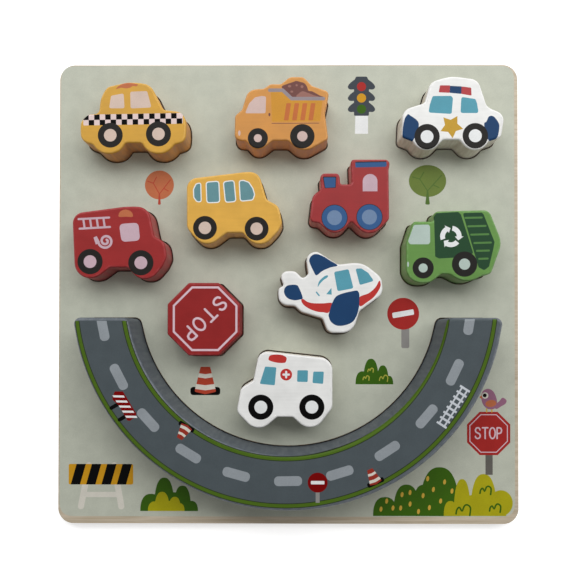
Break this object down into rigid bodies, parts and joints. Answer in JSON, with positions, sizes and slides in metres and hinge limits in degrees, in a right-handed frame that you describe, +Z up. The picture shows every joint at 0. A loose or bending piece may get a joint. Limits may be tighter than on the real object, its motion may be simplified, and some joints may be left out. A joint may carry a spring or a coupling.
{
  "type": "balancing puzzle",
  "caption": "Square wooden puzzle tray with chunky painted traffic blocks in fitted pockets and a thick half-ring road that lifts out as a rocker for balancing the blocks.",
  "frame": {"origin": "middle of the tray's underside", "axes": "seen from above with the rocker's open side at the top, +X runs to the right and +Y to the top; +Z runs up out of the tray"},
  "size_m": [0.3, 0.3, 0.0333],
  "materials": {
    "bare_plywood": "sanded plywood",
    "sage_print": "printed plywood, satin",
    "taxi_yellow": "satin paint",
    "dump_orange": "satin paint",
    "white_paint": "satin paint",
    "fire_red": "satin paint",
    "bus_yellow": "satin paint",
    "locomotive_red": "satin paint",
    "recycling_green": "satin paint",
    "sign_red": "satin paint",
    "road_grey": "satin paint"
  },
  "bodies": {
    "tray": {"tray_back": "bare_plywood", "tray_frame": "sage_print"},
    "taxi_block": {"taxi": "taxi_yellow"},
    "dump_truck_block": {"dump_truck": "dump_orange"},
    "police_car_block": {"police_car": "white_paint"},
    "fire_engine_block": {"fire_engine": "fire_red"},
    "bus_block": {"bus": "bus_yellow"},
    "locomotive_block": {"locomotive": "locomotive_red"},
    "recycling_truck_block": {"recycling_truck": "recycling_green"},
    "stop_sign_block": {"stop_sign": "sign_red"},
    "aeroplane_block": {"aeroplane": "white_paint"},
    "ambulance_block": {"ambulance": "white_paint"},
    "rocker": {"road_rocker": "road_grey"}
  },
  "joints": [
    {"name": "taxi_lift", "type": "slide", "parent": "tray", "child": "taxi_block", "axis": [0, 0, 1], "range_m": [0, 0.06]},
    {"name": "dump_truck_lift", "type": "slide", "parent": "tray", "child": "dump_truck_block", "axis": [0, 0, 1], "range_m": [0, 0.06]},
    {"name": "police_car_lift", "type": "slide", "parent": "tray", "child": "police_car_block", "axis": [0, 0, 1], "range_m": [0, 0.06]},
    {"name": "fire_engine_lift", "type": "slide", "parent": "tray", "child": "fire_engine_block", "axis": [0, 0, 1], "range_m": [0, 0.06]},
    {"name": "bus_lift", "type": "slide", "parent": "tray", "child": "bus_block", "axis": [0, 0, 1], "range_m": [0, 0.06]},
    {"name": "locomotive_lift", "type": "slide", "parent": "tray", "child": "locomotive_block", "axis": [0, 0, 1], "range_m": [0, 0.06]},
    {"name": "recycling_truck_lift", "type": "slide", "parent": "tray", "child": "recycling_truck_block", "axis": [0, 0, 1], "range_m": [0, 0.06]},
    {"name": "stop_sign_lift", "type": "slide", "parent": "tray", "child": "stop_sign_block", "axis": [0, 0, 1], "range_m": [0, 0.06]},
    {"name": "aeroplane_lift", "type": "slide", "parent": "tray", "child": "aeroplane_block", "axis": [0, 0, 1], "range_m": [0, 0.06]},
    {"name": "ambulance_lift", "type": "slide", "parent": "tray", "child": "ambulance_block", "axis": [0, 0, 1], "range_m": [0, 0.06]},
    {"name": "rocker_lift", "type": "slide", "parent": "tray", "child": "rocker", "axis": [0, 0, 1], "range_m": [0, 0.06]}
  ]
}
